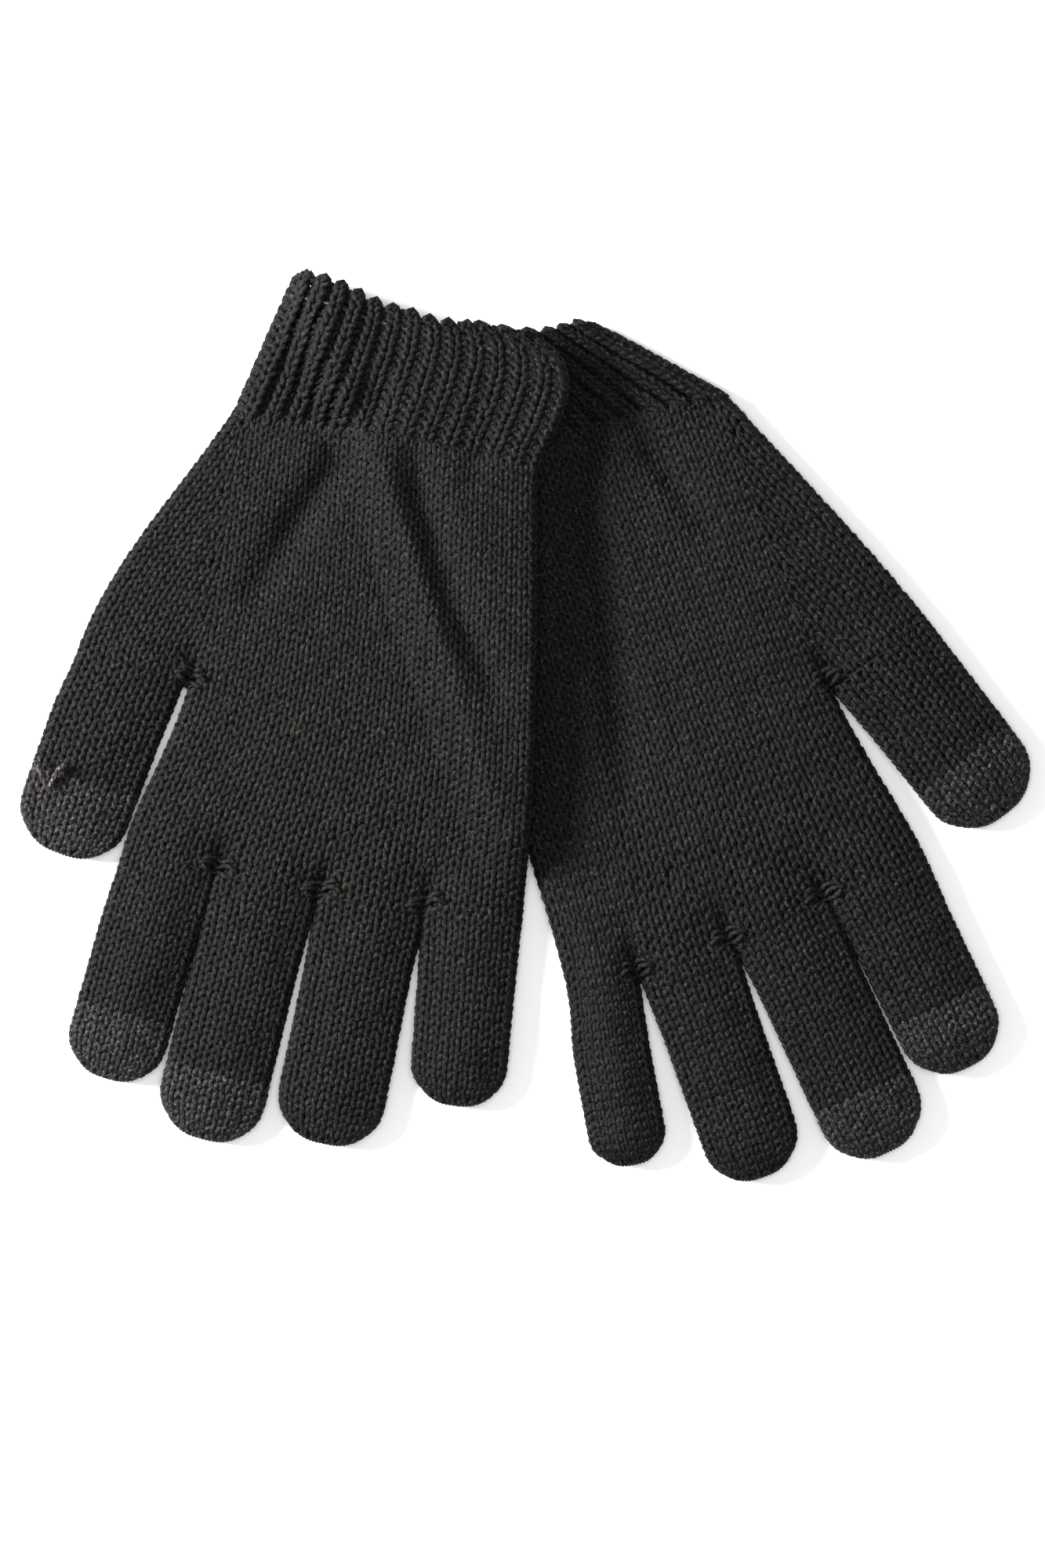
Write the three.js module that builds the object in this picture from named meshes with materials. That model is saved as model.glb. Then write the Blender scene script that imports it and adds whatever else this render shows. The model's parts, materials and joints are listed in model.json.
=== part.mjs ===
// A pair of knitted touchscreen gloves, lying flat, the left glove's side over the right glove's side.
// Millimetres, +Z up. The gloves rest on z = 0 with their fingers towards -Y and their cuffs towards +Y,
// and the origin is under the middle of the pair. Each glove is a flattened knitted tube: a ribbed cuff, a
// palm in two sections, five finger tubes, and conductive tips on the thumb, index and middle fingers.
import * as THREE from 'three';
import { ParametricGeometry } from 'three/addons/geometries/ParametricGeometry.js';

// Knit
const THICKNESS = 8;            // one glove lying flat: two layers of knit and the air between them
const WALL = 1.7;               // one layer of knit
const GAP = 0.3;                // between neighbouring pieces
const YARN = 1.3;               // a doubled yarn, as in the closing stitches
const ELASTIC = 0.8;            // elastic thread in the cuff
const EDGE_LENGTH = 3;          // the cast-off edge at the open end of the cuff
const ELASTIC_SEAT = ELASTIC + 2 * GAP;   // room for a thread between two courses of knit
const STITCH_LENGTH = 8.5;      // one closing stitch
const STITCH_SETBACK = 2.2;     // from the foot of the gap between two fingers to its closing stitch
const TIP_SQUARENESS = 2.4;     // a finger's end in plan: 2 is round, and more is squarer
const END_FLATNESS = 4;         // a finger's end from the side, on the same scale
const SIDE_BULGE = 2;           // how far the thumb side of the palm swells out halfway

// Drape of the left glove over the right one
const RAMP = 15;                // width of the slope beside the lower glove's edge
const PLATEAU_MARGIN = 3;       // how far before that edge the left glove is fully raised
const FADE_LOW = -42;           // below this line the left glove lies on the ground again
const FADE_HIGH = -24;

// Mesh fineness
const CAP_STEPS = 3;            // steps round each folded side edge
const TIP_STEPS = 3;            // rings round a finger's end
const SPAN = 9;                 // widest step across a palm or along a tube
const FINGER_ROW = [-1, -1 / 3, 1 / 3, 1];   // places across the flat of a finger, from side to side

// Lines are drawn from the left side to the right side, at the silhouette. A finger's root is the middle of
// its root line, its lean is from -Y towards +X in degrees, and its length is from root to end.
const LEFT = {
  side: 'left',
  draped: true,
  cuffTop: [[-57.5, 109.6], [4, 92.5]],
  wrist: [[-71.5, 77], [3, 62.5]],
  seam: [[-82, 10.5], [2, -8]],
  thumbSide: -1,
  fingers: {
    thumb: { root: [-96.3, 15.5], lean: -20, width: 26, tipWidth: 24.5, length: 49, tip: 18.5 },
    index: { root: [-86.6, -32], lean: -16, width: 23.2, tipWidth: 23, length: 55, tip: 16 },
    middle: { root: [-62.7, -38.6], lean: -14, width: 24.8, tipWidth: 25.4, length: 63, tip: 16 },
    ring: { root: [-37.4, -42.9], lean: -11.5, width: 25, tipWidth: 25.6, length: 59 },
    little: { root: [-12.6, -44.7], lean: -5, width: 23.4, tipWidth: 22.6, length: 47 },
  },
};
const RIGHT = {
  side: 'right',
  draped: false,
  cuffTop: [[-44, 90], [17, 98]],
  wrist: [[-30, 60], [48, 82]],
  seam: [[-5, -14.5], [74.5, 9.5]],
  thumbSide: 1,
  fingers: {
    thumb: { root: [86.1, 18], lean: 38, width: 27.5, tipWidth: 26, length: 49, tip: 17.5 },
    index: { root: [84.9, -36.1], lean: 26, width: 25.4, tipWidth: 24.6, length: 51, tip: 16.5 },
    middle: { root: [60.9, -47.2], lean: 25, width: 24.8, tipWidth: 25.2, length: 61.5, tip: 16 },
    ring: { root: [38.3, -56.4], lean: 19.5, width: 23.4, tipWidth: 23, length: 55.6 },
    little: { root: [18.3, -62.3], lean: 10.5, width: 17.8, tipWidth: 18, length: 44 },
  },
};
const TOUCH_FINGERS = ['thumb', 'index', 'middle'];

const MATERIALS = {
  yarn: { color: 0x2a2a28, roughness: 0.95 },
  conductive: { color: 0x37353a, roughness: 0.85 },
  elastic: { color: 0x1a1a1a, roughness: 0.6 },
};

const object = new THREE.Group();
const v2 = ([x, y]) => new THREE.Vector2(x, y);
const mix = (a, b, t) => a.clone().lerp(b, t);

function addPiece(name, geometry, material) {
  const piece = new THREE.Mesh(geometry, new THREE.MeshStandardMaterial({ metalness: 0, ...MATERIALS[material] }));
  piece.name = name;
  object.add(piece);
}

// The side of the right glove that the left glove lies on, from its finger end to its cuff.
function lowerEdgeX(y) {
  const corners = [v2(RIGHT.seam[0]), v2(RIGHT.wrist[0]), v2(RIGHT.cuffTop[0])];
  const [start, end] = y < corners[1].y ? [corners[0], corners[1]] : [corners[1], corners[2]];
  const along = Math.min((y - start.y) / (end.y - start.y), 1);
  return start.x + along * (end.x - start.x);
}

// How far the left glove is raised by the right glove under it.
function drapeLift(x, y) {
  const edge = lowerEdgeX(y);
  const across = THREE.MathUtils.smoothstep(x, edge - RAMP, edge - PLATEAU_MARGIN);
  const along = THREE.MathUtils.smoothstep(y, FADE_LOW, FADE_HIGH);
  return (THICKNESS + GAP) * across * along;
}

// A closed ring round a row of centre points: over the top, round one side, back underneath and round the
// other side, all at the same distance from the row.
function ringAround(row, radius, draped) {
  const ring = [];
  const place = (point, height) => {
    const lift = draped ? drapeLift(point.x, point.y) : 0;
    ring.push(new THREE.Vector3(point.x, point.y, THICKNESS / 2 + height + lift));
  };
  const sideArc = (end, outward, from) => {
    for (let step = 1; step < CAP_STEPS; step += 1) {
      const angle = from - (Math.PI * step) / CAP_STEPS;
      const reach = radius * Math.abs(Math.cos(angle));
      place(end.clone().addScaledVector(outward, reach), radius * Math.sin(angle));
    }
  };
  const last = row.length - 1;
  const outwardLeft = row[0].clone().sub(row[1]).normalize();
  const outwardRight = row[last].clone().sub(row[last - 1]).normalize();
  row.forEach((point) => place(point, radius));
  sideArc(row[last], outwardRight, Math.PI / 2);
  [...row].reverse().forEach((point) => place(point, -radius));
  sideArc(row[0], outwardLeft, -Math.PI / 2);
  return ring;
}

// A surface through a run of rings with equal numbers of points.
function skin(rings) {
  const around = rings[0].length;
  const along = rings.length - 1;
  const surface = (u, v, target) => {
    target.copy(rings[Math.round(v * along)][Math.round((1 - u) * around) % around]);
  };
  return new ParametricGeometry(surface, around, along);
}

// A hollow sleeve open at both ends: out along the outer wall and back along the inner wall.
function sleeve(rows, draped) {
  const outer = rows.map((row) => ringAround(row, THICKNESS / 2, draped));
  const inner = rows.map((row) => ringAround(row, THICKNESS / 2 - WALL, draped));
  return skin([...outer, ...inner.reverse(), outer[0]]);
}

// Rows in even steps between two rows with the same number of points. With a bulging side, -1 for the left
// and 1 for the right, the rows halfway stretch out to that side.
function rowsBetween(first, last, bulgingSide = 0) {
  const longest = Math.max(...first.map((point, i) => point.distanceTo(last[i])));
  const steps = Math.max(1, Math.ceil(longest / SPAN));
  return Array.from({ length: steps + 1 }, (_, k) => {
    const row = first.map((point, i) => mix(point, last[i], k / steps));
    const stretch = row[row.length - 1].clone().sub(row[0]).setLength(SIDE_BULGE * Math.sin((Math.PI * k) / steps));
    return row.map((point, i) => {
      const place = i / (row.length - 1);
      const share = bulgingSide < 0 ? place - 1 : place;
      return point.addScaledVector(stretch, bulgingSide === 0 ? 0 : share);
    });
  });
}

// The corners of a line, moved in by half the thickness at both ends and cut into short steps.
function insetLine(corners) {
  const line = corners.map((corner) => corner.clone());
  const last = line.length - 1;
  line[0].add(corners[1].clone().sub(corners[0]).setLength(THICKNESS / 2));
  line[last].add(corners[last - 1].clone().sub(corners[last]).setLength(THICKNESS / 2));
  const row = [line[0]];
  for (let i = 1; i < line.length; i += 1) {
    const steps = Math.ceil(line[i].distanceTo(line[i - 1]) / SPAN);
    for (let k = 1; k <= steps; k += 1) row.push(mix(line[i - 1], line[i], k / steps));
  }
  return row;
}

// A straight row opposite a bent one, with its points at the same shares of its length.
function matchRow(ends, model) {
  const [from, to] = insetEnds(ends);
  const lengths = [0];
  for (let i = 1; i < model.length; i += 1) lengths.push(lengths[i - 1] + model[i].distanceTo(model[i - 1]));
  return lengths.map((length) => mix(from, to, length / lengths[model.length - 1]));
}

function insetEnds([from, to]) {
  const inset = to.clone().sub(from).setLength(THICKNESS / 2);
  return [from.clone().add(inset), to.clone().sub(inset)];
}

const shifted = (points, direction, distance) =>
  points.map((point) => point.clone().addScaledVector(direction, distance));

// A finger's own directions: along it from root to tip, and across it from left to right.
function fingerFrame({ root, lean }) {
  const angle = THREE.MathUtils.degToRad(lean);
  return {
    root: v2(root),
    along: new THREE.Vector2(Math.sin(angle), -Math.cos(angle)),
    across: new THREE.Vector2(Math.cos(angle), Math.sin(angle)),
  };
}

// The ends of a finger's root line, from left to right, a gap short of the finger.
function rootLine(finger) {
  const { root, along, across } = fingerFrame(finger);
  const ends = [-1, 1].map((hand) => root.clone().addScaledVector(across, (hand * finger.width) / 2));
  return shifted(ends, along, -GAP);
}

// One ring of a finger at a distance from its root. Past the start of the rounded end, the ring shrinks in
// both directions, to a point at the very end.
function fingerRing(finger, distance, inset) {
  const { root, along, across } = fingerFrame(finger);
  const width = THREE.MathUtils.lerp(finger.width, finger.tipWidth, distance / finger.length);
  const roundStart = finger.length - finger.tipWidth / 2;
  const bend = Math.max(0, (distance - roundStart) / (finger.length - inset - roundStart));
  const halfWidth = (width / 2 - inset) * (1 - bend ** TIP_SQUARENESS) ** (1 / TIP_SQUARENESS);
  const halfHeight = (THICKNESS / 2 - inset) * Math.sqrt(1 - bend ** END_FLATNESS);
  const middle = root.clone().addScaledVector(along, distance);
  const reach = halfWidth - halfHeight;
  const row = FINGER_ROW.map((place) => middle.clone().addScaledVector(across, place * reach));
  return reach > 0 ? ringAround(row, halfHeight, false) : poleRing(middle);
}

// A ring with no size, where a finger's end closes.
function poleRing(middle) {
  const points = 2 * (FINGER_ROW.length + CAP_STEPS - 1);
  return Array.from({ length: points }, () => new THREE.Vector3(middle.x, middle.y, THICKNESS / 2));
}

// An open finger tube from its root to the start of its tip.
function fingerTube(finger, from, to) {
  const steps = Math.ceil((to - from) / (2 * SPAN));
  const places = Array.from({ length: steps + 1 }, (_, k) => THREE.MathUtils.lerp(from, to, k / steps));
  const outer = places.map((place) => fingerRing(finger, place, 0));
  const inner = places.map((place) => fingerRing(finger, place, WALL));
  return skin([...outer, ...inner.reverse(), outer[0]]);
}

// A finger that is closed at its end, with its open rim at a distance from the root.
function fingerCup(finger, from) {
  const wall = (inset) => {
    const roundStart = finger.length - finger.tipWidth / 2;
    const steps = Math.max(1, Math.ceil((roundStart - from) / (2 * SPAN)));
    const rings = Array.from({ length: steps }, (_, k) => from + ((roundStart - from) * k) / steps);
    for (let k = 0; k <= TIP_STEPS; k += 1) {
      const bend = Math.sin((Math.PI / 2) * (k / TIP_STEPS));
      rings.push(roundStart + bend * (finger.length - inset - roundStart));
    }
    return rings.map((place) => fingerRing(finger, place, inset));
  };
  return skin([...wall(WALL).reverse(), ...wall(0)]);
}

// The ribbed cuff and its cast-off edge, with one elastic thread in the wall at each end of the ribbing.
function makeCuff({ side, draped, cuffTop, wrist }) {
  const top = insetLine(cuffTop.map(v2));
  const foot = matchRow(wrist.map(v2), top);
  const length = top[0].distanceTo(foot[0]);
  const rowAt = (distance) => top.map((point, i) => mix(point, foot[i], distance / length));
  const ribEnd = length - GAP - ELASTIC_SEAT;
  addPiece(`${side}_cuff_edge`, sleeve([rowAt(0), rowAt(EDGE_LENGTH)], draped), 'yarn');
  addPiece(`${side}_cuff`, sleeve(rowsBetween(rowAt(EDGE_LENGTH + ELASTIC_SEAT), rowAt(ribEnd)), draped), 'yarn');
  [EDGE_LENGTH, ribEnd].forEach((seat, index) => {
    const loop = elasticLoop(rowAt, seat + ELASTIC_SEAT / 2, draped);
    addPiece(`${side}_cuff_elastic_${index + 1}`, loop, 'elastic');
  });
}

// A thread running once round the cuff, in the middle of the knit's thickness.
function elasticLoop(rowAt, distance, draped) {
  const sides = 5;
  const loopRadius = (THICKNESS - WALL) / 2;
  const rings = Array.from({ length: sides + 1 }, (_, k) => {
    const angle = (2 * Math.PI * (k % sides)) / sides;
    const row = rowAt(distance + (ELASTIC / 2) * Math.sin(angle));
    return ringAround(row, loopRadius + (ELASTIC / 2) * Math.cos(angle), draped);
  });
  return skin(rings);
}

// The palm from the wrist to the foot of the thumb, then from there to the four fingers.
function makePalm({ side, draped, wrist, seam, thumbSide, fingers }) {
  const order = side === 'left' ? ['index', 'middle', 'ring', 'little'] : ['little', 'ring', 'middle', 'index'];
  const thumbRoot = rootLine(fingers.thumb);
  const seamEnds = seam.map(v2);
  const lowerEnd = side === 'left' ? [...thumbRoot, ...seamEnds] : [...seamEnds, ...thumbRoot];
  const lowerRow = insetLine(lowerEnd);
  const lowerStart = matchRow(wrist.map(v2), lowerRow);
  addPiece(`${side}_lower_palm`, sleeve(rowsBetween(lowerStart, lowerRow, thumbSide), draped), 'yarn');
  const upperRow = insetLine(order.flatMap((name) => rootLine(fingers[name])));
  const down = new THREE.Vector2(0, -1);
  const upperStart = matchRow(shifted(seamEnds, down, GAP * 1.5), upperRow);
  addPiece(`${side}_upper_palm`, sleeve(rowsBetween(upperStart, upperRow), draped), 'yarn');
  makeClosingStitches(side, order.map((name) => fingers[name]), fingers.thumb);
}

// A short bar of yarn on the palm at the foot of each gap between two fingers.
function makeClosingStitches(side, fourFingers, thumb) {
  const feet = [];
  for (let i = 1; i < fourFingers.length; i += 1) {
    feet.push(mix(rootLine(fourFingers[i - 1])[1], rootLine(fourFingers[i])[0], 0.5));
  }
  feet.push(rootLine(thumb)[side === 'left' ? 1 : 0]);
  const neighbours = [...fourFingers.slice(1), thumb];
  feet.forEach((foot, i) => {
    const { along, across } = fingerFrame(neighbours[i]);
    const middle = foot.clone().addScaledVector(along, -STITCH_SETBACK);
    const bar = new THREE.CapsuleGeometry(YARN / 2, STITCH_LENGTH - YARN, 2, 6, 1);
    bar.rotateZ(Math.PI / 2 + Math.atan2(across.y, across.x));
    bar.translate(middle.x, middle.y, THICKNESS + GAP + YARN / 2);
    addPiece(`${side}_closing_stitch_${i + 1}`, bar, 'yarn');
  });
}

function makeFingers({ side, fingers }) {
  for (const [name, finger] of Object.entries(fingers)) {
    if (TOUCH_FINGERS.includes(name)) {
      const tipStart = finger.length - finger.tip;
      addPiece(`${side}_${name}_finger`, fingerTube(finger, 0, tipStart), 'yarn');
      addPiece(`${side}_${name}_tip`, fingerCup(finger, tipStart + GAP), 'conductive');
    } else {
      addPiece(`${side}_${name}_finger`, fingerCup(finger, 0), 'yarn');
    }
  }
}

// The loose end of yarn left on the left thumb, lying on it in a small V.
function makeYarnTail() {
  const height = THICKNESS + GAP + YARN / 2;
  const bends = [[-117.5, -6.5], [-115.5, -11.5], [-112.5, -8]];
  const path = new THREE.CatmullRomCurve3(bends.map(([x, y]) => new THREE.Vector3(x, y, height)));
  const outline = new THREE.Shape().absarc(0, 0, YARN / 2, 0, 2 * Math.PI);
  const tail = new THREE.ExtrudeGeometry(outline, { steps: 6, curveSegments: 3, extrudePath: path });
  addPiece('left_thumb_yarn_tail', tail, 'conductive');
}

for (const glove of [RIGHT, LEFT]) {
  makeCuff(glove);
  makePalm(glove);
  makeFingers(glove);
}
makeYarnTail();

export default object;
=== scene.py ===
import json
import math

import bpy
import numpy as np
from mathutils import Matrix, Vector


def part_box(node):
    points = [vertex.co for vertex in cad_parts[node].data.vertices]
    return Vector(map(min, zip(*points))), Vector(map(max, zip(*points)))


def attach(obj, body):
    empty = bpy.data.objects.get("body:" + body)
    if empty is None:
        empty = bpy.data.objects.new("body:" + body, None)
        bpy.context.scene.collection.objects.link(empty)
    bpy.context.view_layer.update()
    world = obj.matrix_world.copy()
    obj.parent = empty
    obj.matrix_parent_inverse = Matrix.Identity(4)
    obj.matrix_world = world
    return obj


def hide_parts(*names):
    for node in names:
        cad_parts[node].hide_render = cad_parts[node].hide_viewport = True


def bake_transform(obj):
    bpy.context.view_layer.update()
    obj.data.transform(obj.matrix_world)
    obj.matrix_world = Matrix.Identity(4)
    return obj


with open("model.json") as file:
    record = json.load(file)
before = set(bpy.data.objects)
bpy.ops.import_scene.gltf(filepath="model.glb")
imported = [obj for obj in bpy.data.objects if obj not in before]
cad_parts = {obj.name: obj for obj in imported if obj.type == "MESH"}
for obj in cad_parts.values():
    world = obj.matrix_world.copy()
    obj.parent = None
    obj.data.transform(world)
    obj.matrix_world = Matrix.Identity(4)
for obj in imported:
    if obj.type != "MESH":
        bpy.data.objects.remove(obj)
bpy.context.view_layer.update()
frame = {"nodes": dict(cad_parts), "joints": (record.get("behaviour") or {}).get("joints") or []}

SEED = 7

# Fabric
MM = 0.001
LEG_HEIGHT = 0.28        # how far a loop's legs stand in front of the middle of the fabric
YARN_ACROSS = 0.84       # half the yarn's width in the plane of the fabric
YARN_THROUGH = 0.46      # half its thickness through the fabric
HALF_FABRIC = LEG_HEIGHT + YARN_THROUGH
SIDE_FABRIC = 0.7        # from the middle of the fabric to the silhouette, which loops reach here and there
LOOP_SWING = 0.24        # how far a loop swings sideways, in wales
LOOP_REACH = 0.8         # how far a loop reaches up and down, in courses
LEG_SNAP = 2.2           # how abruptly a loop's yarn passes from the front of the fabric to the back
UNEVEN_REACH = 0.07      # these four are how much loops vary: their reach, place, course and height
UNEVEN_PLACE = 0.055
UNEVEN_COURSE = 0.08
UNEVEN_HEIGHT = 0.2
FOLD_WALES = 2           # wales that go round each folded side
FOLD_RADIUS = 2.0
SIDE_INSET = FOLD_RADIUS + SIDE_FABRIC   # from the silhouette to where the flat part of a row ends
FLOOR_GAP = 0.35         # keeps the uneven loops off the floor
MIDDLE_HEIGHT = FOLD_RADIUS + HALF_FABRIC + FLOOR_GAP
POINTS_PER_LOOP = 10
YARN_SIDES = 5
LUMP_HEIGHT = 0.35       # slow unevenness of the cloth
FIBRES_PER_LOOP = 0.3    # loose fibres that stand off the yarn
FIBRE_POINTS = 4
FIBRE_REACH = (0.2, 0.7)     # shortest and longest, in wales or courses
FIBRE_LIFT = (0.1, 0.5)      # least and most that a fibre stands off
FIBRE_SINK = 0.2         # how far below the front of the fabric a fibre's lift is counted from
FIBRE_CURL = 0.8
FIBRE_RADIUS = 0.05

# Palm
MAIN_WALES = 30          # across the palm without the thumb: six to a finger and two to a gap
FINGER_SHARE = 6
GAP_SHARE = 2
GUSSET_PITCH = 2.9       # width of a wale on the thumb's part of the palm
LOWER_COURSES = 31
UPPER_COURSES = 18
COURSE = 2.2             # height of a course on the palm
PALM_DOME = 1.3
PALM_FLATNESS = 0.7      # below 1, the palm's dome is flatter than a half wave and steeper at its sides
FINGER_DOME = 1.5
ROOT_RAMP = 9            # courses over which the palm takes on the fingers' separate domes

# Fingers
FINGER_COURSE = 2.0
FINGER_WALES = 7
TIP_SQUARENESS = 2.4
ROOT_SWELL = 0.5         # how much more a finger swells where it meets its neighbour
ROOT_SWELL_LENGTH = 18
CAD_SIDE_SHORTFALL = 1.07   # the frame's faceted sides are this much narrower in all than the round ones
TIP_REACH = 0.96         # where the last course lies, as a share of the rounded end
TIP_SAG = 0.2            # how far the last course curves back at its sides, as a share of the rounded end
TIP_FOLD_RADIUS = 0.9
END_CURL = 0.5           # how far the last loops reach past the last course
CLOSED_RADIUS = 0.2      # where the last course's loops close over the end

# The overcast yarn that closes a fingertip
OVERCAST_PITCH = 1.7
OVERCAST_PLACE = 0.35    # how far it lies past the last course, and how far it swings to and fro there
OVERCAST_SWING = 0.25
OVERCAST_HEIGHT = 0.9
OVERCAST_RADII = (0.5, 0.45)

# Closing stitches, at the foot of the gaps between fingers
STITCH_SETBACK = 1.0     # courses from the foot of the gap to the stitch's middle
STITCH_RADII = (0.7, 0.55)
CLOSING_STITCH = (       # wales across, courses down, and height over the knit
    (-1.5, 0.5, -0.9), (-1.45, 0.1, 0.7), (-0.8, -0.2, 1.1), (0.0, 0.1, 1.5),
    (0.8, -0.25, 1.1), (1.45, 0.0, 0.8), (1.55, 0.5, -0.3), (1.1, 0.9, 0.5),
    (0.3, 0.6, 1.4), (-0.5, 0.75, 1.2), (-1.1, 0.5, 0.9), (-1.2, -0.4, 0.4),
    (-0.6, -0.8, 0.9), (0.3, -0.6, 1.1), (1.0, -0.9, 0.8), (1.3, -0.5, -0.9),
)

# The loose end of yarn on the left thumb
TAIL_HEIGHT = 7.9        # the middle of the loose end, which lies on the top of the thumb
TAIL_SETBACK = 2.0       # from the middle of its box in the frame, down the picture
TAIL_BENDS = (
    (-3.0, 3.6, 0.5), (-2.2, 0.8, 0.3), (-0.8, -2.6, 0.1),
    (0.3, -2.7, 0.1), (1.5, -0.2, 0.3), (3.3, 2.0, 0.7),
)
TAIL_TWIST = 9           # radians of twist from its middle to either end
TAIL_RADIUS = 0.42
TAIL_SPREAD = 0.3        # how far its plies lie from its middle line
TAIL_FRAY = 0.5          # how much further they part at its ends

# Cuff
RIB_COURSE = 2.1
RIB_WALES = 26
RIB_DEPTH = 0.8
RIB_SNAP = 2.5           # how abruptly a knit wale turns into a purl one
WRIST_OVERLAP = 0.45     # courses that the cuff reaches into the palm
RIB_FADE = 0.8           # share of their depth that the ribs lose
RIB_FADE_PLACES = (0.2, 0.5)   # where the left cuff's ribs start and stop fading, across the cuff
KNIT_WALE_SHARE = 1.34   # width of a knit wale in a pair of wales, whose other wale is purl
SCALLOP = 0.8            # how far the open end's scallops reach
SCALLOP_COURSES = 2.5    # courses over which they die away
CUFF_SWELL = 7.0         # how far the left cuff swells out over the right one
CUFF_SWELL_SKEW = 0.55   # below 1, the widest place of the swell is nearer the open end
CUFF_FOLD_RADIUS = 1.9
CUFF_DOME = 0.35
EDGE_COURSES = 2         # courses that belong to the cuff's edge
CAST_OFF_PLACE = 0.05    # in courses, as are the next two
CAST_OFF_SWING = 0.22
CAST_OFF_UNEVEN = 0.06
CAST_OFF_HEIGHT = 0.3
CAST_OFF_RADII = (0.75, 0.7)
ELASTIC_RADIUS = 0.4
ELASTIC_SETBACK = 0.2    # courses from the end of the cuff's last course to the second elastic

# Drape of the left glove over the right one
GLOVE_STEP = 8.3         # how high the left glove lies where it is on the right one
RAMP = 15                # how far outside the right glove's side it starts to climb
PLATEAU_MARGIN = 3       # how far outside that side it reaches its full height
FADE_LOW = -42           # the Y below which it lies on the floor
FADE_HIGH = -24          # the Y above which it lies at its full height

# Yarns: the colours of their grooves and of their fibres; the grooves' darker colour is painted shade
PLIES = 3
PLY_PITCH = 1.9
FLECK_AND_GLINT = 7.0              # how much lighter than the fibres the pale flecks are; they are paler fibres and painted glints in one
BLACK_TONES = ((0.0012, 0.0012, 0.0011), (0.0033, 0.0033, 0.0031))
CONDUCTIVE_TONES = ((0.004, 0.0037, 0.004), (0.0086, 0.0079, 0.0086))
TAIL_TONES = ((0.012, 0.0108, 0.0112), (0.028, 0.0255, 0.0262))

# Stage, in metres and watts
SENSOR = 36              # in millimetres
CAMERA_PLACE = (-0.0011, -0.0134)
CAMERA_HEIGHT = 1.2
FRAMED_WIDTH = 0.380
WORLD_STRENGTH = 0.5

# The two gloves. Lines run from the thumb side to the little finger's side. An edge dip is a place along the
# cuff's open end, its width and its depth. Fullness is how much wider than the frame's finger each side is,
# thumb side first. A crease is a line of points, its depth and its width.
GLOVES = {
    "left": {
        "cuff_top": ((-57.0, 109.4), (4, 92.5)),
        "wrist": ((-71.1, 77), (3, 62.5)),
        "seam": ((-82, 10.5), (2, -8)),
        "edge_dips": ((0.33, 0.13, 2.0), (0.6, 0.2, 2.8), (1.0, 0.08, 1.8)),
        "fullness": {
            "thumb": (1.2, 0.9),
            "index": (0.6, 0.6),
            "middle": (1.2, -0.3),
            "ring": (0.8, 0.2),
            "little": (1.0, -0.2),
        },
        "creases": (
            (((-33, 86), (-38, 76), (-53, 53), (-70, 26)), 2.3, 4.5),
            (((-28, 70), (-25, 54), (-18, 31), (-4, 2)), 2.5, 4.2),
            (((-10, 80), (-11, 66), (-16, 52)), 0.7, 4.0),
        ),
    },
    "right": {
        "cuff_top": ((17, 98), (-44, 90)),
        "wrist": ((47.4, 81.6), (-30, 60)),
        "seam": ((74.0, 9.5), (-5, -14.5)),
        "edge_dips": ((0.2, 0.1, 1.6), (0.45, 0.12, -3.6)),
        "fullness": {
            "thumb": (0.1, 1.1),
            "index": (-0.5, 0.5),
            "middle": (1.2, -0.6),
            "ring": (0.8, -0.3),
            "little": (-0.2, 1.4),
        },
        "creases": (
            (((20, 100), (22, 60), (28, 20), (30, -30)), 1.3, 17.0),
            (((12, 100), (14, 60), (19, 30), (25, -24)), 2.6, 4.5),
            (((17, 96), (30, 67), (46, 44)), 1.7, 3.5),
            (((26, 96), (36, 82), (48, 72)), 0.8, 3.0),
        ),
    },
}
FOUR_FINGERS = ("index", "middle", "ring", "little")
TOUCH_FINGERS = ("thumb", "index", "middle")

rng = np.random.default_rng(SEED)


def mix(a, b, t):
    return a + (b - a) * t


def smoothstep(x, low, high):
    t = np.clip((x - low) / (high - low), 0, 1)
    return t * t * (3 - 2 * t)


def unit(v):
    return v / np.maximum(np.linalg.norm(v, axis=-1, keepdims=True), 1e-9)


def column(values):
    return np.asarray(values, float)[..., None]


# ---------------------------------------------------------------- plan of the gloves

def hermite(start, end, start_step, end_step, t):
    """A cubic from start to end, with its tangents given for the whole stretch. t goes from 0 to 1."""
    t = column(t)
    return (
        start * (2 * t**3 - 3 * t**2 + 1)
        + start_step * (t**3 - 2 * t**2 + t)
        + end * (3 * t**2 - 2 * t**3)
        + end_step * (t**3 - t**2)
    )


def inset_line(line):
    """A silhouette line, thumb side first, shortened to the flat part between its two folds."""
    a, b = (np.array(point, float) for point in line)
    inset = unit(b - a) * SIDE_INSET
    return a + inset, b - inset


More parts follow.
